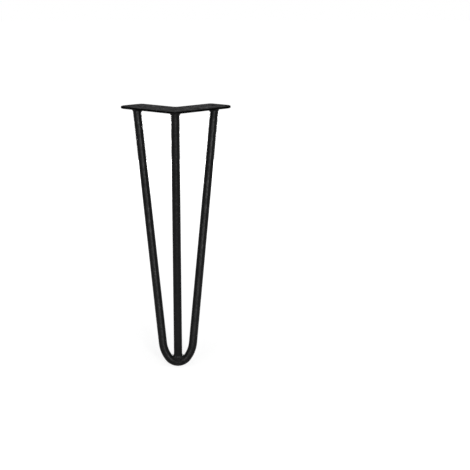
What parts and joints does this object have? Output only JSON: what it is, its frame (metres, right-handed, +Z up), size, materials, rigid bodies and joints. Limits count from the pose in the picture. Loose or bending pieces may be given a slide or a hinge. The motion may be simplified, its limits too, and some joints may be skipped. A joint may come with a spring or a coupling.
{
  "type": "hairpin table leg",
  "caption": "Hairpin table leg: a round bar bent into a U and a straight round bar, welded under an L-shaped screw plate and joined at a rounded foot.",
  "frame": {"origin": "on the top face of the screw plate, straight above the axis of the centre bar", "axes": "+Z up out of the plate's top face, towards the table top it is screwed to; the leg hangs towards -Z. The plate's outer corner points to -Y, its arms run back to -X and +X at 45 degrees, and the leg is the same on both sides of the YZ plane."},
  "size_m": [0.1596, 0.1213, 0.37],
  "materials": {
    "powder_coat": "satin black powder coat"
  },
  "bodies": {
    "root": {"top_plate": "powder_coat", "hairpin_rod": "powder_coat", "centre_rod": "powder_coat", "plate_weld_left": "powder_coat", "plate_weld_right": "powder_coat", "plate_weld_centre": "powder_coat", "foot_weld": "powder_coat"}
  },
  "joints": []
}
